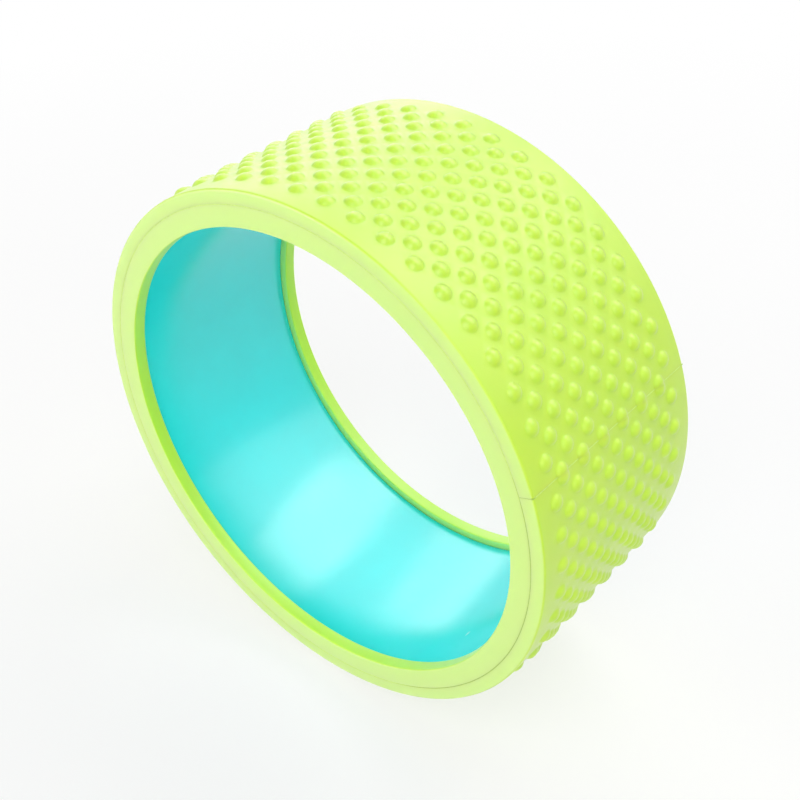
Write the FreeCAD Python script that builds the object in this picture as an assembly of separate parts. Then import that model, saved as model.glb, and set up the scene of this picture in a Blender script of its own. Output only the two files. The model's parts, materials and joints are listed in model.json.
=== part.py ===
import FreeCAD, Part
import math
import os

# A yoga wheel: a rigid plastic hoop, a foam ring glued over each of its ends, and a dotted foam mat
# wrapped once around the outside and closed with a butt seam.
# Millimetres. The origin is the wheel's centre, Y is its axis with the front towards -Y, and +Z is up.

# Wheel
wheel_width = 141.0
bore_radius = 141.5
glue_thickness = 0.25
glue_clearance = 0.15
glue_setback = 0.8

# Hoop
hoop_wall = 8.1
hoop_edge_round = 0.6

# Rim rings
ring_thickness = 8.5
lip_height = 4.5
lip_edge_round = 0.9

# Mat, whose butt seam runs a little below the middle of a short column of dots
mat_thickness = 8.2
mat_edge_round = 1.5
face_seam_round = 0.2
butt_seam_gap = 0.3
butt_seam_angle = 20.38
butt_seam_offset = 1.8

# Dots on the mat
dot_diameter = 9.4
dot_height = 2.3
dot_pitch_around = 19.26
dot_pitch_across = 18.2
dot_edge_margin = 15.9
dot_root_share = 0.5

# Cuts run past the material by the overrun, and edges are found by place to within the tolerance
overrun = 5.0
match_tolerance = 0.001

# Radii and lengths that follow from the sizes above
hoop_inner_radius = bore_radius + lip_height
core_outer_radius = hoop_inner_radius + hoop_wall
glue_outer_radius = core_outer_radius + glue_thickness
mat_inner_radius = glue_outer_radius + glue_clearance
tread_radius = mat_inner_radius + mat_thickness
top_radius = tread_radius + dot_height
hoop_length = wheel_width - 2 * (ring_thickness + glue_thickness)
front_face = -wheel_width / 2
hoop_front = -hoop_length / 2

# The dots stand in columns across the tread, with every second column set half a pitch sideways
columns_around = round(2 * math.pi * tread_radius / dot_pitch_around)
dots_across = round((wheel_width - 2 * dot_edge_margin) / dot_pitch_across) + 1
column_step = 360.0 / columns_around

wheel_axis = FreeCAD.Vector(0, 1, 0)
centre = FreeCAD.Vector(0, 0, 0)


def section(inner, outer, low, high):
    """A rectangular face in the XY plane, between two radii and two places along the axis."""
    corners = [(inner, low), (outer, low), (outer, high), (inner, high), (inner, low)]
    return Part.Face(Part.makePolygon([FreeCAD.Vector(r, y, 0) for r, y in corners]))


def sector(face, degrees):
    """A face swept about the axis from angle zero, with angles that grow from +X towards +Z."""
    return face.revolve(centre, -wheel_axis, degrees)


def turned(shape, degrees):
    """A copy turned about the axis, the same way."""
    copy = shape.copy()
    copy.rotate(centre, -wheel_axis, degrees)
    return copy


def tube(inner, outer, low, high):
    return sector(section(inner, outer, low, high), 360)


def circles_at(shape, radius, place):
    """The round edges of a turned shape that have this radius and lie at this place along the axis."""
    found = []
    for edge in shape.Edges:
        if not isinstance(edge.Curve, Part.Circle):
            continue
        off_radius = abs(edge.Curve.Radius - radius)
        off_place = abs(edge.Curve.Center.y - place)
        if max(off_radius, off_place) < match_tolerance:
            found.append(edge)
    return found


def both_ends(shape, radius, place):
    """The same, at this place and at its mirror place."""
    return circles_at(shape, radius, place) + circles_at(shape, radius, -place)


def mirrored(shape):
    """The same piece at the other end of the wheel."""
    return shape.mirror(centre, wheel_axis)


def hoop():
    """The rigid tube, with its two inner edges eased."""
    body = tube(hoop_inner_radius, core_outer_radius, hoop_front, -hoop_front)
    return body.makeFillet(hoop_edge_round, both_ends(body, hoop_inner_radius, hoop_front))


def rim_ring():
    """The front foam ring, whose inner edge stands proud of the hoop as a rounded lip."""
    back = front_face + ring_thickness
    body = tube(bore_radius, core_outer_radius, front_face, back)
    lip_edges = circles_at(body, bore_radius, front_face) + circles_at(body, bore_radius, back)
    body = body.makeFillet(lip_edge_round, lip_edges)
    return body.makeFillet(face_seam_round, circles_at(body, core_outer_radius, front_face))


def ring_glue():
    """The film of glue between the hoop's front end and its ring."""
    low = front_face + ring_thickness
    return tube(hoop_inner_radius + glue_setback, core_outer_radius, low, hoop_front)


def mat_glue():
    """The film of glue under the mat, over the hoop and both rings."""
    edge = front_face + glue_setback
    return tube(core_outer_radius, glue_outer_radius, edge, -edge)


def dot():
    """One dot at angle zero in the middle of the tread: a spherical cap with its root in the mat."""
    half = dot_diameter / 2
    ball_radius = (half ** 2 + dot_height ** 2) / (2 * dot_height)
    ball_centre = tread_radius + dot_height - ball_radius
    root = tread_radius - dot_root_share * mat_thickness
    ball = Part.makeSphere(ball_radius, FreeCAD.Vector(ball_centre, 0, 0))
    keep = Part.makeBox(2 * ball_radius, 2 * ball_radius, 2 * ball_radius)
    keep.translate(FreeCAD.Vector(root, -ball_radius, -ball_radius))
    return ball.common(keep)


def column(count, degrees):
    """A column of dots across the tread, centred, at one angle around the wheel."""
    model = turned(dot(), degrees)
    placed = []
    for index in range(count):
        one = model.copy()
        one.translate(wheel_axis * ((index - (count - 1) / 2) * dot_pitch_across))
        placed.append(one)
    return placed


def mat_pitch():
    """One pitch of the mat, from the middle of one short column of dots to the middle of the next."""
    blank = sector(section(mat_inner_radius, tread_radius, front_face, -front_face), column_step)
    blank = blank.makeFillet(mat_edge_round, both_ends(blank, tread_radius, front_face))
    blank = blank.makeFillet(face_seam_round, both_ends(blank, mat_inner_radius, front_face))
    short = dots_across - 1
    columns = column(short, 0) + column(dots_across, column_step / 2) + column(short, column_step)
    room = section(mat_inner_radius - overrun, top_radius + overrun, front_face - overrun, overrun - front_face)
    return blank.fuse(columns).common(sector(room, column_step))


def seam_slab(low_radius, high_radius, setback):
    """A thin slab at angle zero, between two radii, that stops short of both faces by the setback."""
    width = wheel_width - 2 * setback
    slab = Part.makeBox(high_radius - low_radius, width, butt_seam_gap)
    slab.translate(FreeCAD.Vector(low_radius, -width / 2, -butt_seam_gap / 2))
    return slab


def in_axial_plane(face):
    """Whether a face lies in a plane through the wheel's axis, where one pitch of the mat meets the next."""
    if not isinstance(face.Surface, Part.Plane):
        return False
    normal = face.Surface.Axis
    distance = abs(face.Surface.Position.dot(normal))
    return abs(normal.dot(wheel_axis)) < 0.5 and distance < match_tolerance


def massage_mat():
    """The mat: one pitch repeated around the wheel and joined, but left open at the butt seam."""
    pitch = mat_pitch()
    offset = math.degrees(butt_seam_offset / tread_radius)
    slot = turned(seam_slab(mat_inner_radius - overrun, top_radius + overrun, -overrun), -offset)
    faces = []
    for index in range(columns_around):
        one = turned(pitch, index * column_step)
        if index in (0, columns_around - 1):
            one = one.cut(slot)
        faces += [face for face in one.Faces if not in_axial_plane(face)]
    skin = Part.Shell(faces)
    skin.sewShape()
    return turned(Part.Solid(skin), butt_seam_angle + offset)


def seam_glue():
    """The glue that fills the butt seam, a little below the tread."""
    slab = seam_slab(mat_inner_radius, tread_radius - glue_setback, glue_setback)
    return turned(slab, butt_seam_angle)


def write(name, shape):
    solids = shape.Solids
    if len(solids) != 1 or not shape.isValid():
        raise ValueError(f"{name} has {len(solids)} solids, valid: {shape.isValid()}")
    solids[0].exportStep(f"parts/{name}.step")
    print(f"{name}: {solids[0].Volume / 1000:.2f} cm3")


os.makedirs("parts", exist_ok=True)
front_ring = rim_ring()
front_glue = ring_glue()
write("hoop", hoop())
write("front_rim_ring", front_ring)
write("rear_rim_ring", mirrored(front_ring))
write("massage_mat", massage_mat())
write("mat_glue_film", mat_glue())
write("front_ring_glue", front_glue)
write("rear_ring_glue", mirrored(front_glue))
write("butt_seam_glue", seam_glue())
print(f"{columns_around} pitches around, {dots_across} dots across")
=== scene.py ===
import json
import math

import bmesh
import bpy
from bpy.props import FloatProperty, FloatVectorProperty, IntProperty, PointerProperty
from mathutils import Euler, Matrix, Vector


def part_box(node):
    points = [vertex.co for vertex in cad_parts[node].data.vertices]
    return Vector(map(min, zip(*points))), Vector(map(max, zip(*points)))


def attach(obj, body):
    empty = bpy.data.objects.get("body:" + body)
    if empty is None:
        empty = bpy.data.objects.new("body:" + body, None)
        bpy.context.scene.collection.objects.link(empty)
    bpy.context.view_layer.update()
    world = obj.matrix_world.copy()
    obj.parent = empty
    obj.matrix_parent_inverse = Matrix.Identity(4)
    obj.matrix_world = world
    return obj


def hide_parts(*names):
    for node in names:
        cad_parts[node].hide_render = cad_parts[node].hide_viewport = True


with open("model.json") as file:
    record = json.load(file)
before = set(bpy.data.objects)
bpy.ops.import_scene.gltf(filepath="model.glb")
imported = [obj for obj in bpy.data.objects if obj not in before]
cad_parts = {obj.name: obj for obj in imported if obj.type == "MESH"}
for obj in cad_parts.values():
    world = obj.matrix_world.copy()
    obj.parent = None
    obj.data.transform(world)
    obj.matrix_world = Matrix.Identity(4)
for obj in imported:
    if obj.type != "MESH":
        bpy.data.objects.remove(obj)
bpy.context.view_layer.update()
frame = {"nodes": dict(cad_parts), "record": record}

bl_info = {
    "name": "Yoga wheel",
    "version": (1, 0, 0),
    "blender": (4, 5, 0),
    "location": "View3D > Sidebar > Yoga wheel",
    "description": "Dresses a yoga wheel: a glossy hoop, foam rim rings and a dotted foam mat",
    "category": "Object",
}

# The frame's own box, and the places and sizes that the pieces take from the frame
MAT_LOW, MAT_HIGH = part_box("massage_mat")
RING_LOW, RING_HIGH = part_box("front_rim_ring")
HOOP_LOW, HOOP_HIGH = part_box("hoop")
BORE = next(mount["dims"] for mount in frame["record"]["mounts"] if mount["name"] == "through_bore")

# The body that every piece rides on, and a millimetre in metres
BODY = "root"
MM = 0.001

# Points closer together than this are one point
MERGE = 0.01 * MM

# A face looks along an axis if its unit normal reaches further than this along it
FACING = 0.9

# Faces across a rounded edge: in general, on the mat's inner edges, and at the mat's cut ends
ROUND_STEPS = 6
INNER_STEPS = 3
END_STEPS = 2

# Edges that turn by less than this are shaded smooth
SMOOTH_ANGLE = math.radians(38)

# Rings of one dot, from its foot to near its top, as shares of the dot's radius and of its height
DOT_RING_SHARES = ((1.10, 0.0), (1.00, 0.08), (0.86, 0.36), (0.62, 0.71), (0.33, 0.93))
DOT_SIDES = 12

# Sides of the diamond of tread around a dot
DIAMOND_SIDES = 4

# Extra pitches of flat tread, which the square cuts at its two ends take off
SPARE_PITCHES = 2

# Width of the glue bead's top, as a share of its foot
BEAD_TOP_SHARE = 0.5

# The direction, in the wheel's plane, of the side on which the seam in the face has opened. The glue there
# carries painted shade of the open gap: it darkens by the share, over one span along that direction and over
# the other towards either face
OPEN_SIDE = (0.94, 0.0, -0.34)
OPEN_SPAN = (105 * MM, 122 * MM)
FACE_SPAN = (67 * MM, 69 * MM)
OPEN_SHARE = 0.6

# Metres from the wheel's centre over which the floor runs out to plain white, and the white's share in it
FLOOR_SPAN = (0.4, 1.1)
FLOOR_LIFT = (0.75, 1.0)

# The span in which most values of a noise texture lie
NOISE_SPAN = (0.3, 0.7)

# The colour sockets of the mix node, whose names its other sockets share
MIX_FIRST = 6
MIX_SECOND = 7
MIX_RESULT = 2

# Softboxes: name, degrees around from +X towards +Y, degrees above the horizon, and watts
SOFTBOXES = (
    ("back_left_low", 138, 20, 8.0),
    ("back_left_high", 125, 48, 5.0),
    ("back_high", 76, 55, 14.0),
    ("back_right", 44, 36, 5.0),
    ("front_left_low", 230, 12, 16.0),
    ("front_right_low", 315, 12, 7.5),
    ("front_right_high", 305, 52, 15.0),
    ("right", 342, 36, 2.0),
)


class WheelSizes(bpy.types.PropertyGroup):
    """Sizes of the hoop and the rim rings."""
    width: FloatProperty(
        name="Width", description="Length of the wheel along its axis",
        default=MAT_HIGH.y - MAT_LOW.y, unit="LENGTH")
    bore_radius: FloatProperty(
        name="Bore radius", description="Radius inside the lips of the rim rings",
        default=BORE["r_mm"] * MM, unit="LENGTH")
    core_radius: FloatProperty(
        name="Core radius", description="Outer radius of the hoop and the rim rings",
        default=RING_HIGH.x, unit="LENGTH")
    ring_thickness: FloatProperty(
        name="Ring thickness", description="Thickness of a rim ring along the axis",
        default=RING_HIGH.y - RING_LOW.y, unit="LENGTH")
    lip_height: FloatProperty(
        name="Lip height", description="How far a rim ring stands proud of the hoop's inner surface",
        default=4.5 * MM, unit="LENGTH")
    lip_round: FloatProperty(
        name="Lip rounding", description="Radius on the two inner edges of a rim ring",
        default=0.9 * MM, unit="LENGTH")
    seam_round: FloatProperty(
        name="Seam rounding", description="Radius on the two outer edges of a rim ring",
        default=0.1 * MM, unit="LENGTH")
    hoop_length: FloatProperty(
        name="Hoop length", description="Length of the hoop along the axis",
        default=HOOP_HIGH.y - HOOP_LOW.y, unit="LENGTH")
    hoop_round: FloatProperty(
        name="Hoop edge rounding", description="Radius on the hoop's edges",
        default=0.6 * MM, unit="LENGTH")
    turns: IntProperty(
        name="Steps around", description="Steps in which the hoop and the rings are spun",
        default=212, min=24)


class MatSizes(bpy.types.PropertyGroup):
    """Sizes of the dotted mat and of the glue in its seams."""
    dot_height: FloatProperty(
        name="Dot height", description="Height of a dot above the tread",
        default=2.3 * MM, unit="LENGTH")
    dot_radius: FloatProperty(
        name="Dot radius", description="Radius of a dot, without the soft run of its foot into the tread",
        default=4.7 * MM, unit="LENGTH")
    thickness: FloatProperty(
        name="Thickness", description="Thickness of the mat between its dots",
        default=8.2 * MM, unit="LENGTH")
    glue_gap: FloatProperty(
        name="Glue gap", description="Room for the glue between the core and the mat",
        default=0.4 * MM, unit="LENGTH")
    pitches: IntProperty(
        name="Pitches around", description="How many times the pattern repeats around the wheel",
        default=53, min=8)
    dots_across: IntProperty(
        name="Dots across", description="Dots in a long column across the tread", default=7, min=2)
    pitch_across: FloatProperty(
        name="Pitch across", description="Distance between dots in a column",
        default=18.2 * MM, unit="LENGTH")
    edge_round: FloatProperty(
        name="Edge rounding", description="Radius on the mat's two outer edges",
        default=1.5 * MM, unit="LENGTH")
    inner_round: FloatProperty(
        name="Inner rounding", description="Radius on the mat's two inner edges",
        default=0.1 * MM, unit="LENGTH")
    seam_gap: FloatProperty(
        name="Seam gap", description="Width of the butt seam", default=0.1 * MM, unit="LENGTH")
    end_round: FloatProperty(
        name="End rounding", description="Radius on the mat's two ends where they show in the faces",
        default=0.25 * MM, unit="LENGTH")
    bead_width: FloatProperty(
        name="Bead width", description="Width of the glue that is pressed out of the butt seam",
        default=0.5 * MM, unit="LENGTH")
    bead_height: FloatProperty(
        name="Bead height", description="How far that glue stands proud of the tread",
        default=0.12 * MM, unit="LENGTH")
    glue_round: FloatProperty(
        name="Glue rounding", description="Radius on the edges of the glue sleeve under the mat",
        default=0.08 * MM, unit="LENGTH")
    glue_setback: FloatProperty(
        name="Glue setback", description="How far the glue in the seams stays behind the faces",
        default=0.05 * MM, unit="LENGTH")
    seam_offset: FloatProperty(
        name="Seam offset", description="From the seam up to the middle of the first short column of dots",
        default=1.8 * MM, unit="LENGTH")
    seam_slip: FloatProperty(
        name="Seam slip", description="How far the pattern falls short of its own start at the seam",
        default=3.0 * MM, unit="LENGTH")
    seam_angle: FloatProperty(
        name="Seam angle", description="Place of the butt seam, from +X towards +Z",
        default=math.radians(20.38), subtype="ANGLE")


class WheelColours(bpy.types.PropertyGroup):
    """Colours of the materials."""
    foam: FloatVectorProperty(
        name="Foam", description="Lime of the foam", default=(0.60, 0.88, 0.012),
        subtype="COLOR", min=0, max=1)
    foam_deep: FloatVectorProperty(
        name="Deep foam", description="Deeper lime in the foam's patches", default=(0.57, 0.86, 0.008),
        subtype="COLOR", min=0, max=1)
    foam_cut: FloatVectorProperty(
        name="Cut foam", description="Paler lime of the foam's cut side faces", default=(0.66, 0.92, 0.22),
        subtype="COLOR", min=0, max=1)
    plastic: FloatVectorProperty(
        name="Plastic", description="Turquoise of the hoop", default=(0.003, 0.73, 0.755),
        subtype="COLOR", min=0, max=1)
    # Painted glint: pale specks in the hoop that stand in for small highlights on it
    painted_glint: FloatVectorProperty(
        name="Scuff", description="Pale handling marks in the hoop", default=(0.55, 0.90, 0.90),
        subtype="COLOR", min=0, max=1)
    glue: FloatVectorProperty(
        name="Glue", description="Dried glue in the seams", default=(0.70, 0.98, 0.24),
        subtype="COLOR", min=0, max=1)
    # Dark olive painted shade, in the open gap along the face seam and in the foam's pits
    painted_hollow_shade: FloatVectorProperty(
        name="Old glue", description="Glue where the seam has opened, and the foam's pits",
        default=(0.26, 0.50, 0.03), subtype="COLOR", min=0, max=1)


class StageSettings(bpy.types.PropertyGroup):
    """Camera, lamps and floor."""
    azimuth: FloatProperty(
        name="Azimuth", description="Camera's place around the wheel", default=math.radians(40.471),
        subtype="ANGLE")
    elevation: FloatProperty(
        name="Elevation", description="Camera's height above the horizon", default=math.radians(37.097),
        subtype="ANGLE")
    roll: FloatProperty(
        name="Roll", description="Camera's turn about its line of sight", default=math.radians(-1.208),
        subtype="ANGLE")
    distance: FloatProperty(
        name="Distance", description="Camera's distance from its aim", default=0.7376, unit="LENGTH")
    aim: FloatVectorProperty(
        name="Aim", description="Point that the camera looks at", default=(0.0061, 0.0064, 0.0012),
        subtype="TRANSLATION", unit="LENGTH")
    lens: FloatProperty(
        name="Lens", description="Focal length in millimetres on a 36 mm sensor", default=55.63)
    lamp_distance: FloatProperty(
        name="Lamp distance", description="From the wheel's centre to each softbox",
        default=1.9, unit="LENGTH")
    lamp_size: FloatProperty(
        name="Lamp size", description="Side of each square softbox", default=1.1, unit="LENGTH")
    floor_size: FloatProperty(
        name="Floor size", description="Side of the square floor", default=12.0, unit="LENGTH")


def deselect():
    if bpy.context.mode != "OBJECT":
        bpy.ops.object.mode_set(mode="OBJECT")
    bpy.ops.object.select_all(action="DESELECT")


def only(piece):
    """Makes one object the selected and active one."""
    deselect()
    piece.select_set(True)
    bpy.context.view_layer.objects.active = piece


def edit(piece, mode="EDGE"):
    """Opens one object in edit mode with nothing selected."""
    only(piece)
    bpy.ops.object.mode_set(mode="EDIT")
    bpy.ops.mesh.select_mode(type=mode)
    bpy.ops.mesh.select_all(action="DESELECT")


def pick_edges(piece, test):
    """Selects the edges for which the test holds, in edit mode."""
    bpy.ops.mesh.select_all(action="DESELECT")
    mesh = bmesh.from_edit_mesh(piece.data)
    chosen = [edge for edge in mesh.edges if test(edge)]
    for edge in chosen:
        edge.select_set(True)
    bmesh.update_edit_mesh(piece.data)
    if not chosen:
        raise RuntimeError(f"{piece.name}: no edge fits the test")


def middle(edge):
    return (edge.verts[0].co + edge.verts[1].co) / 2


def close_mesh(merge=MERGE):
    """Merges doubled points and turns all faces outwards, in edit mode."""
    bpy.ops.mesh.select_all(action="SELECT")
    bpy.ops.mesh.remove_doubles(threshold=merge)
    bpy.ops.mesh.normals_make_consistent(inside=False)


def apply_all(piece):
    only(piece)
    for modifier in list(piece.modifiers):
        bpy.ops.object.modifier_apply(modifier=modifier.name)


def array(piece, count, offset):
    """Repeats a piece in a row and joins the copies."""
    modifier = piece.modifiers.new("row", "ARRAY")
    modifier.count = count
    modifier.use_relative_offset = False
    modifier.use_constant_offset = True
    modifier.constant_offset_displace = offset
    modifier.use_merge_vertices = True
    modifier.merge_threshold = MERGE
    apply_all(piece)


def finish_piece(piece, name, material, slot, *nodes):
    """Names a piece, smooths it, gives it its material and ties it to the frame."""
    piece.name = name
    piece.data.name = name
    only(piece)
    bpy.ops.object.shade_smooth_by_angle(angle=SMOOTH_ANGLE)
    piece.data.materials.clear()
    piece.data.materials.append(material)
    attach(piece, BODY)
    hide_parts(*nodes)


class NodeBench:
    """A small helper that adds shader nodes and links them."""

    def __init__(self, owner):
        self.owner = owner
        owner.use_nodes = True
        self.tree = owner.node_tree
        self.tree.nodes.clear()

    def add(self, kind, inputs=None, **settings):
        node = self.tree.nodes.new("ShaderNode" + kind)
        for key, value in settings.items():
            setattr(node, key, value)
        for key, value in (inputs or {}).items():
            self.feed(node.inputs[key], value)
        return node

    def feed(self, socket, value):
        if isinstance(value, bpy.types.NodeSocket):
            self.tree.links.new(value, socket)
        else:
            socket.default_value = value

    def noise(self, place, scale, detail=2.0, roughness=0.5):
        inputs = {"Vector": place, "Scale": scale, "Detail": detail, "Roughness": roughness}
        return self.add("TexNoise", inputs).outputs["Fac"]

    def span(self, value, source, target):
        """Maps a value from one span to another, and holds it at the ends."""
        inputs = {"Value": value, "From Min": source[0], "From Max": source[1],
                  "To Min": target[0], "To Max": target[1]}
        return self.add("MapRange", inputs).outputs["Result"]

    def blend(self, share, first, second):
        node = self.add("Mix", data_type="RGBA")
        self.feed(node.inputs["Factor"], share)
        self.feed(node.inputs[MIX_FIRST], first)
        self.feed(node.inputs[MIX_SECOND], second)
        return node.outputs[MIX_RESULT]

    def product(self, first, second):
        return self.add("Math", {0: first, 1: second}, operation="MULTIPLY").outputs[0]

    def seen_plainly(self):
        """One for what is seen directly, in a reflection or through glass, and zero for other light."""
        path = self.add("LightPath").outputs
        seen = path["Is Camera Ray"]
        for kind in ("Is Glossy Ray", "Is Transmission Ray"):
            seen = self.add("Math", {0: seen, 1: path[kind]}, operation="MAXIMUM").outputs[0]
        return seen

    def output(self, shader, kind="OutputMaterial"):
        self.add(kind, {"Surface": shader})
        return self.owner


def new_material(name):
    return NodeBench(bpy.data.materials.new(name))


def opaque(colour):
    return (*colour, 1.0)


def foam_material(colours):
    """Closed-cell foam: a fine skin of pores, faint patches of deeper lime, painted shade in sparse pores on
    its cut faces, and a soft sheen.
    """
    bench = new_material("lime_foam")
    coordinates = bench.add("TexCoord")
    place = coordinates.outputs["Object"]
    sideways = bench.add("SeparateXYZ", {"Vector": coordinates.outputs["Normal"]}).outputs["Y"]
    sideways = bench.add("Math", {0: sideways}, operation="ABSOLUTE").outputs[0]
    cut = bench.span(sideways, (0.7, 0.95), (0.0, 1.0))
    patches = bench.noise(place, scale=22.0, detail=3.0)
    pores = bench.noise(place, scale=1400.0, roughness=0.6)
    dimples = bench.noise(place, scale=260.0)
    # Sparse dark specks on the cut faces: painted shade in open pores, which have no depth of their own
    pits = bench.add("TexVoronoi", {"Vector": place, "Scale": 95.0}).outputs["Distance"]
    pit_shade_falloff = bench.span(pits, (0.03, 0.075), (1.0, 0.0))
    chance = bench.span(bench.noise(place, scale=60.0, detail=0.0), (0.66, 0.72), (0.0, 1.0))
    pit_shade = bench.product(bench.product(pit_shade_falloff, chance), cut)
    tone = bench.span(patches, (0.35, 0.65), (0.0, 1.0))
    colour = bench.blend(tone, opaque(colours.foam), opaque(colours.foam_deep))
    colour = bench.blend(cut, colour, opaque(colours.foam_cut))
    colour = bench.blend(pit_shade, colour, opaque(colours.painted_hollow_shade))
    rough = bench.span(pores, NOISE_SPAN, (0.38, 0.46))
    grain = bench.add("Bump", {"Height": pores, "Strength": 0.25, "Distance": 0.06 * MM})
    swell = bench.add("Bump", {"Height": dimples, "Strength": 0.3, "Distance": 0.12 * MM,
                               "Normal": grain.outputs[0]})
    shader = bench.add("BsdfPrincipled", {
        "Base Color": colour, "Roughness": rough, "Normal": swell.outputs[0],
        "Specular IOR Level": 1.0, "Sheen Weight": 0.35, "Sheen Roughness": 0.5,
        "Subsurface Weight": 0.8, "Subsurface Radius": (1.0, 1.0, 0.4), "Subsurface Scale": 2.5 * MM,
    })
    return bench.output(shader.outputs[0])


def plastic_material(colours):
    """Moulded plastic: glossy, with faint flow ripples and sparse pale specks of painted glint."""
    bench = new_material("turquoise_plastic")
    place = bench.add("TexCoord").outputs["Object"]
    ripple = bench.noise(place, scale=28.0, detail=1.0)
    peel = bench.noise(place, scale=420.0)
    smear = bench.noise(place, scale=14.0, detail=4.0, roughness=0.65)
    shade = bench.span(smear, NOISE_SPAN, (0.97, 1.03))
    colour = bench.add("HueSaturation", {"Color": opaque(colours.plastic), "Value": shade}).outputs[0]
    # Sparse pale specks, drawn out into short streaks: painted glints that stand in for small highlights
    drawn_out = bench.add("Mapping", {
        "Vector": place, "Rotation": (0.5, 0.3, 0.0), "Scale": (1.0, 0.4, 2.5)})
    glint_spot = bench.add("TexVoronoi", {"Vector": drawn_out.outputs[0], "Scale": 60.0}).outputs["Distance"]
    chance = bench.span(bench.noise(place, scale=45.0, detail=0.0), (0.74, 0.78), (0.0, 0.8))
    painted_glint = bench.product(bench.span(glint_spot, (0.04, 0.12), (1.0, 0.0)), chance)
    colour = bench.blend(painted_glint, colour, opaque(colours.painted_glint))
    rough = bench.span(smear, NOISE_SPAN, (0.20, 0.26))
    fine = bench.add("Bump", {"Height": peel, "Strength": 0.04, "Distance": 0.05 * MM})
    wave = bench.add("Bump", {"Height": ripple, "Strength": 0.25, "Distance": 0.5 * MM,
                              "Normal": fine.outputs[0]})
    shader = bench.add("BsdfPrincipled", {
        "Base Color": colour, "Roughness": rough, "Normal": wave.outputs[0],
        "Specular IOR Level": 1.0,
    })
    return bench.output(shader.outputs[0])


def glue_material(colours):
    """Dried contact glue: dull, with small lumps, and with painted shade of the open gap along the side
    where the seam has opened.
    """
    bench = new_material("dried_glue")
    place = bench.add("TexCoord").outputs["Object"]
    lumps = bench.noise(place, scale=500.0, detail=3.0)
    shade = bench.span(lumps, NOISE_SPAN, (0.9, 1.1))
    # Painted shade of the open gap: on the opened side, near either face, the glue turns towards the dark
    # olive
    across = bench.add("VectorMath", {0: place, 1: OPEN_SIDE}, operation="DOT_PRODUCT").outputs["Value"]
    opened = bench.span(across, OPEN_SPAN, (0.0, OPEN_SHARE))
    sideways = bench.add("SeparateXYZ", {"Vector": place}).outputs["Y"]
    sideways = bench.add("Math", {0: sideways}, operation="ABSOLUTE").outputs[0]
    opened = bench.product(opened, bench.span(sideways, FACE_SPAN, (0.0, 1.0)))
    colour = bench.blend(opened, opaque(colours.glue), opaque(colours.painted_hollow_shade))
    colour = bench.add("HueSaturation", {"Color": colour, "Value": shade}).outputs[0]
    bump = bench.add("Bump", {"Height": lumps, "Strength": 0.4, "Distance": 0.1 * MM})
    shader = bench.add("BsdfPrincipled", {
        "Base Color": colour, "Roughness": 0.6, "Normal": bump.outputs[0]})
    return bench.output(shader.outputs[0])


def floor_material():
    """A white sweep that takes the wheel's soft shadow and runs out to plain white around it."""
    bench = new_material("white_sweep")
    place = bench.add("TexCoord").outputs["Object"]
    distance = bench.add("VectorMath", {0: place}, operation="LENGTH").outputs["Value"]
    lift = bench.product(bench.seen_plainly(), bench.span(distance, FLOOR_SPAN, FLOOR_LIFT))
    mottle = bench.span(bench.noise(place, scale=3.0), NOISE_SPAN, (0.92, 0.94))
    paint = bench.add("BsdfDiffuse", {"Color": mottle})
    glow = bench.add("Emission", {"Color": (1, 1, 1, 1), "Strength": 1.0})
    mixed = bench.add("MixShader", {0: lift, 1: paint.outputs[0], 2: glow.outputs[0]})
    return bench.output(mixed.outputs[0])


def dot_cell(mat, pitch):
    """One dot in the middle of its diamond of tread, at the origin, with outwards towards -X."""
    facing = (0, -math.pi / 2, 0)
    inset_share = math.cos(math.pi / DOT_SIDES)
    radii = [share * mat.dot_radius for share, rise in DOT_RING_SHARES]
    rises = [rise * mat.dot_height for share, rise in DOT_RING_SHARES]
    deselect()
    bpy.ops.mesh.primitive_circle_add(vertices=DOT_SIDES, radius=radii[0], fill_type="NGON", rotation=facing)
    cell = bpy.context.object
    bpy.ops.object.transform_apply(rotation=True)
    edit(cell, "FACE")
    bpy.ops.mesh.select_all(action="SELECT")
    for index in range(1, len(radii)):
        step = (radii[index - 1] - radii[index]) * inset_share
        bpy.ops.mesh.inset(thickness=step, depth=rises[index] - rises[index - 1])
    bpy.ops.mesh.poke(offset=mat.dot_height - rises[-1])
    bpy.ops.mesh.select_mode(type="EDGE")
    bpy.ops.mesh.select_all(action="DESELECT")
    # The diamond starts a thickness below and moves up once it is bridged, because a flat bridge twists
    depth = mat.thickness
    bpy.ops.mesh.primitive_circle_add(
        vertices=DIAMOND_SIDES, radius=pitch / 2, fill_type="NOTHING",
        rotation=facing, location=(depth, 0, 0))
    bpy.ops.mesh.subdivide(number_cuts=DOT_SIDES // DIAMOND_SIDES - 1)
    bpy.ops.transform.resize(value=(1, mat.pitch_across / pitch, 1))
    pick_edges(cell, lambda edge: len(edge.link_faces) < 2)
    bpy.ops.mesh.bridge_edge_loops()
    pick_edges(cell, lambda edge: all(vert.co.x > depth / 2 for vert in edge.verts))
    bpy.ops.transform.translate(value=(-depth, 0, 0))
    close_mesh()
    bpy.ops.object.mode_set(mode="OBJECT")
    return cell


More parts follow.
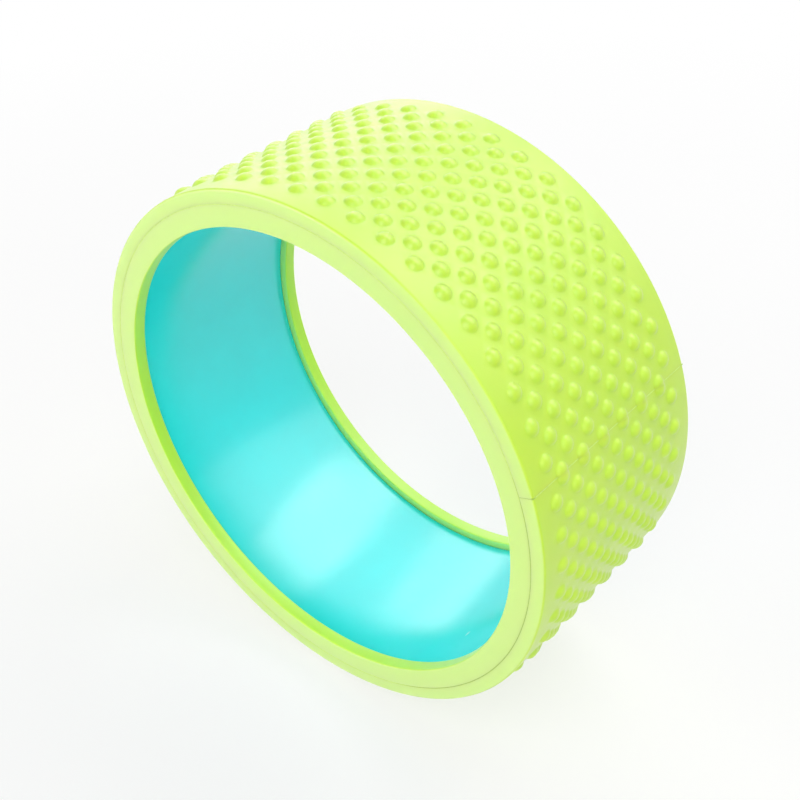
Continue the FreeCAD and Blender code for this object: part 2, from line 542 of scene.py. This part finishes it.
def dotted_sheet(mat, pitch, length):
    """The tread laid flat along Z: columns of dots, cut square near a short column at both ends."""
    long_column = dot_cell(mat, pitch)
    only(long_column)
    bpy.ops.object.duplicate()
    short_column = bpy.context.object
    first = mat.seam_offset - pitch
    for column, count, start in (
            (long_column, mat.dots_across, first + pitch / 2), (short_column, mat.dots_across - 1, first)):
        array(column, count, (0, mat.pitch_across, 0))
        column.location = (0, -(count - 1) * mat.pitch_across / 2, start)
        bpy.ops.object.transform_apply(location=True)
    long_column.select_set(True)
    bpy.ops.object.join()
    sheet = bpy.context.object
    array(sheet, mat.pitches + SPARE_PITCHES, (0, 0, pitch))
    edit(sheet)
    close_mesh(2 * MERGE)
    for place, side in ((0, -1), (length, 1)):
        bpy.ops.mesh.select_all(action="SELECT")
        bpy.ops.mesh.bisect(plane_co=(0, 0, place), plane_no=(0, 0, side), clear_outer=True)
    return sheet


def thicken(sheet, mat, wheel, length):
    """Gives the flat tread its smooth margins, its sides, its underside and its two ends, in edit mode."""
    ends = (0, length)
    half = wheel.width / 2

    def lies_at(edge, end):
        return all(abs(vert.co.z - end) < MERGE for vert in edge.verts)

    def at_either_end(edge):
        return any(lies_at(edge, end) for end in ends)

    def lies_on(edge, place, depth):
        return all(abs(v.co.y - place) < MERGE and abs(v.co.x - depth) < MERGE for v in edge.verts)

    def on_corner(edge, depth):
        return any(lies_on(edge, place, depth) for place in (-half, half))

    for side in (-1, 1):
        pick_edges(sheet, lambda edge: (
            edge.is_boundary and not at_either_end(edge) and middle(edge).y * side > 0))
        bpy.ops.mesh.extrude_edges_move()
        bpy.ops.transform.resize(value=(1, 0, 1), center_override=(0, side * half, 0))
        bpy.ops.mesh.extrude_edges_move(TRANSFORM_OT_translate={"value": (mat.thickness, 0, 0)})
    pick_edges(sheet, lambda edge: on_corner(edge, mat.thickness))
    bpy.ops.mesh.bridge_edge_loops()
    pick_edges(sheet, lambda edge: on_corner(edge, 0))
    bpy.ops.mesh.bevel(offset=mat.edge_round, segments=ROUND_STEPS, affect="EDGES")
    pick_edges(sheet, lambda edge: on_corner(edge, mat.thickness))
    bpy.ops.mesh.bevel(offset=mat.inner_round, segments=INNER_STEPS, affect="EDGES")
    for end in ends:
        pick_edges(sheet, lambda edge: edge.is_boundary and lies_at(edge, end))
        bpy.ops.mesh.edge_face_add()
    pick_edges(sheet, lambda edge: at_either_end(edge) and abs(middle(edge).y) > half - mat.edge_round)
    bpy.ops.mesh.bevel(offset=mat.end_round, segments=END_STEPS, affect="EDGES")
    close_mesh()
    bpy.ops.object.mode_set(mode="OBJECT")


def wrap(sheet, radius, angle):
    """Bends the flat strip, whose length lies along Z, into a ring about Y with its seam at -X."""
    bend = sheet.modifiers.new("wrap", "SIMPLE_DEFORM")
    bend.deform_method = "BEND"
    bend.deform_axis = "Y"
    bend.angle = angle
    apply_all(sheet)
    sheet.location = (-radius, 0, 0)
    bpy.ops.object.transform_apply(location=True)


def turned_ring(corners, turns):
    """Spins a rectangle about Y; each corner is its radius, its place along Y and its rounding."""
    radii = [corner[0] for corner in corners]
    places = [corner[1] for corner in corners]
    size = (max(radii) - min(radii), max(places) - min(places), 1)
    centre = ((max(radii) + min(radii)) / 2, (max(places) + min(places)) / 2, 0)
    deselect()
    bpy.ops.mesh.primitive_plane_add(size=1, location=centre)
    ring = bpy.context.object
    ring.scale = size
    bpy.ops.object.transform_apply(location=True, scale=True)
    edit(ring, "VERT")
    for radius, place, rounding in corners:
        bpy.ops.mesh.select_all(action="DESELECT")
        mesh = bmesh.from_edit_mesh(ring.data)
        nearest = min(mesh.verts, key=lambda vert: (vert.co - Vector((radius, place, 0))).length)
        nearest.select_set(True)
        bmesh.update_edit_mesh(ring.data)
        bpy.ops.mesh.bevel(offset=rounding, segments=ROUND_STEPS, affect="VERTICES")
    bpy.ops.mesh.select_all(action="SELECT")
    bpy.ops.mesh.delete(type="ONLY_FACE")
    bpy.ops.mesh.select_all(action="SELECT")
    bpy.ops.mesh.spin(steps=turns, angle=2 * math.pi, center=(0, 0, 0), axis=(0, 1, 0))
    close_mesh()
    bpy.ops.object.mode_set(mode="OBJECT")
    return ring


def seam_bead(mat, inner, end):
    """The glue in the butt seam: a thin web between the mat's ends, with a low bead along its outer edge."""
    deselect()
    bpy.ops.mesh.primitive_cube_add(size=1, location=(inner + mat.thickness / 2, 0, 0))
    bead = bpy.context.object
    bead.scale = (mat.thickness, 2 * end, mat.seam_gap)
    bpy.ops.object.transform_apply(location=True, scale=True)
    edit(bead, "FACE")
    mesh = bmesh.from_edit_mesh(bead.data)
    for face in mesh.faces:
        face.select_set(face.normal.x > FACING)
    bmesh.update_edit_mesh(bead.data)
    bpy.ops.mesh.extrude_region_move()
    bpy.ops.transform.resize(value=(1, 1, mat.bead_width / mat.seam_gap))
    for width_share in (1, BEAD_TOP_SHARE):
        bpy.ops.mesh.extrude_region_move(TRANSFORM_OT_translate={"value": (mat.bead_height / 2, 0, 0)})
        bpy.ops.transform.resize(value=(1, 1, width_share))
    close_mesh()
    bpy.ops.object.mode_set(mode="OBJECT")
    bead.rotation_euler.y = -mat.seam_angle
    bpy.ops.object.transform_apply(rotation=True)
    return bead


class YOGAWHEEL_OT_mat(bpy.types.Operator):
    """Make the dotted foam mat and close it around the wheel"""
    bl_idname = "yogawheel.mat"
    bl_label = "Massage mat"

    def execute(self, context):
        scene = context.scene
        mat = scene.yoga_mat
        tread = scene.yoga_wheel.core_radius + mat.glue_gap + mat.thickness
        length = 2 * math.pi * tread - mat.seam_gap
        sheet = dotted_sheet(mat, (length - mat.seam_slip) / mat.pitches, length)
        thicken(sheet, mat, scene.yoga_wheel, length)
        wrap(sheet, tread, length / tread)
        sheet.rotation_euler.y = math.pi - mat.seam_angle
        bpy.ops.object.transform_apply(rotation=True)
        finish_piece(sheet, "dotted_mat", foam_material(scene.yoga_colours), "mat_foam", "massage_mat")
        return {"FINISHED"}


class YOGAWHEEL_OT_rings(bpy.types.Operator):
    """Make the two foam rim rings"""
    bl_idname = "yogawheel.rings"
    bl_label = "Rim rings"

    def execute(self, context):
        scene = context.scene
        wheel = scene.yoga_wheel
        foam = foam_material(scene.yoga_colours)
        for node, side in (("front_rim_ring", -1), ("rear_rim_ring", 1)):
            face = side * wheel.width / 2
            back = face - side * wheel.ring_thickness
            corners = (
                (wheel.bore_radius, face, wheel.lip_round),
                (wheel.bore_radius, back, wheel.lip_round),
                (wheel.core_radius, face, wheel.seam_round),
                (wheel.core_radius, back, wheel.seam_round),
            )
            ring = turned_ring(corners, wheel.turns)
            finish_piece(ring, node + "_foam", foam, "ring_foam", node)
        return {"FINISHED"}


class YOGAWHEEL_OT_hoop(bpy.types.Operator):
    """Make the rigid glossy hoop"""
    bl_idname = "yogawheel.hoop"
    bl_label = "Hoop"

    def execute(self, context):
        scene = context.scene
        wheel = scene.yoga_wheel
        inner = wheel.bore_radius + wheel.lip_height
        end = wheel.hoop_length / 2
        corners = [(radius, place, wheel.hoop_round)
                   for radius in (inner, wheel.core_radius) for place in (-end, end)]
        hoop = turned_ring(corners, wheel.turns)
        finish_piece(hoop, "hoop_tube", plastic_material(scene.yoga_colours), "hoop_plastic", "hoop")
        return {"FINISHED"}


class YOGAWHEEL_OT_glue(bpy.types.Operator):
    """Fill the seams with glue and give it its finish"""
    bl_idname = "yogawheel.glue"
    bl_label = "Glue"

    def execute(self, context):
        scene = context.scene
        wheel = scene.yoga_wheel
        mat = scene.yoga_mat
        glue = glue_material(scene.yoga_colours)
        for name in ("front_ring_glue", "rear_ring_glue"):
            mesh = frame["nodes"][name].data
            mesh.materials.clear()
            mesh.materials.append(glue)
        inner = wheel.core_radius + mat.glue_gap
        end = wheel.width / 2 - mat.glue_setback
        corners = [(radius, place, mat.glue_round)
                   for radius in (wheel.core_radius, inner) for place in (-end, end)]
        sleeve = turned_ring(corners, wheel.turns)
        finish_piece(sleeve, "mat_glue", glue, "glue", "mat_glue_film")
        bead = seam_bead(mat, inner, end)
        finish_piece(bead, "butt_seam_bead", glue, "glue", "butt_seam_glue")
        return {"FINISHED"}


def add_softbox(name, around, height, watts, stage):
    """A square softbox that faces the wheel's centre from these two angles."""
    place = Euler((0, -height, around)).to_matrix() @ Vector((stage.lamp_distance, 0, 0))
    deselect()
    bpy.ops.object.light_add(type="AREA", location=place)
    lamp = bpy.context.object
    lamp.name = name
    lamp.rotation_euler = place.to_track_quat("Z", "Y").to_euler()
    lamp.data.shape = "SQUARE"
    lamp.data.size = stage.lamp_size
    lamp.data.energy = watts


class YOGAWHEEL_OT_stage(bpy.types.Operator):
    """Set the floor, the lamps and the camera"""
    bl_idname = "yogawheel.stage"
    bl_label = "Stage"

    def execute(self, context):
        scene = context.scene
        stage = scene.yoga_stage
        scene.view_settings.view_transform = "Standard"
        deselect()
        bpy.ops.mesh.primitive_plane_add(size=stage.floor_size, location=(0, 0, MAT_LOW.z))
        floor = context.object
        floor.name = "floor"
        bpy.ops.object.transform_apply(location=True)
        floor.data.materials.append(floor_material())
        self.light_world(scene)
        for name, around, height, watts in SOFTBOXES:
            add_softbox(name, math.radians(around), math.radians(height), watts, stage)
        self.place_camera(scene, stage)
        return {"FINISHED"}

    @staticmethod
    def light_world(scene):
        """A plain white background, seen directly and in reflections, that adds no other light."""
        bench = NodeBench(bpy.data.worlds.new("studio"))
        white = bench.add("Background", {"Color": (1, 1, 1, 1), "Strength": bench.seen_plainly()})
        scene.world = bench.output(white.outputs[0], "OutputWorld")

    @staticmethod
    def place_camera(scene, stage):
        turn = Euler((math.pi / 2 - stage.elevation, 0, stage.azimuth)).to_matrix()
        turn = turn @ Matrix.Rotation(stage.roll, 3, "Z")
        place = Vector(stage.aim) + turn @ Vector((0, 0, stage.distance))
        deselect()
        bpy.ops.object.camera_add(location=place, rotation=turn.to_euler())
        camera = bpy.context.object
        camera.data.lens = stage.lens
        scene.camera = camera


OPERATORS = (YOGAWHEEL_OT_mat, YOGAWHEEL_OT_rings, YOGAWHEEL_OT_hoop, YOGAWHEEL_OT_glue, YOGAWHEEL_OT_stage)
GROUPS = {
    "yoga_wheel": WheelSizes,
    "yoga_mat": MatSizes,
    "yoga_colours": WheelColours,
    "yoga_stage": StageSettings,
}


class YOGAWHEEL_PT_panel(bpy.types.Panel):
    """The wheel's pieces and their sizes"""
    bl_idname = "YOGAWHEEL_PT_panel"
    bl_label = "Yoga wheel"
    bl_space_type = "VIEW_3D"
    bl_region_type = "UI"
    bl_category = "Yoga wheel"

    def draw(self, context):
        for operator in OPERATORS:
            self.layout.operator(operator.bl_idname)
        for group in GROUPS:
            settings = getattr(context.scene, group)
            box = self.layout.box()
            for key in settings.bl_rna.properties.keys():
                if key not in ("rna_type", "name"):
                    box.prop(settings, key)


def register():
    for cls in (*GROUPS.values(), *OPERATORS, YOGAWHEEL_PT_panel):
        bpy.utils.register_class(cls)
    for key, group in GROUPS.items():
        setattr(bpy.types.Scene, key, PointerProperty(type=group))


def unregister():
    for key in GROUPS:
        delattr(bpy.types.Scene, key)
    for cls in (YOGAWHEEL_PT_panel, *reversed(OPERATORS), *GROUPS.values()):
        bpy.utils.unregister_class(cls)


def main():
    register()
    bpy.ops.yogawheel.mat()
    bpy.ops.yogawheel.rings()
    bpy.ops.yogawheel.hoop()
    bpy.ops.yogawheel.glue()
    bpy.ops.yogawheel.stage()
    deselect()


if __name__ == "__main__":
    main()
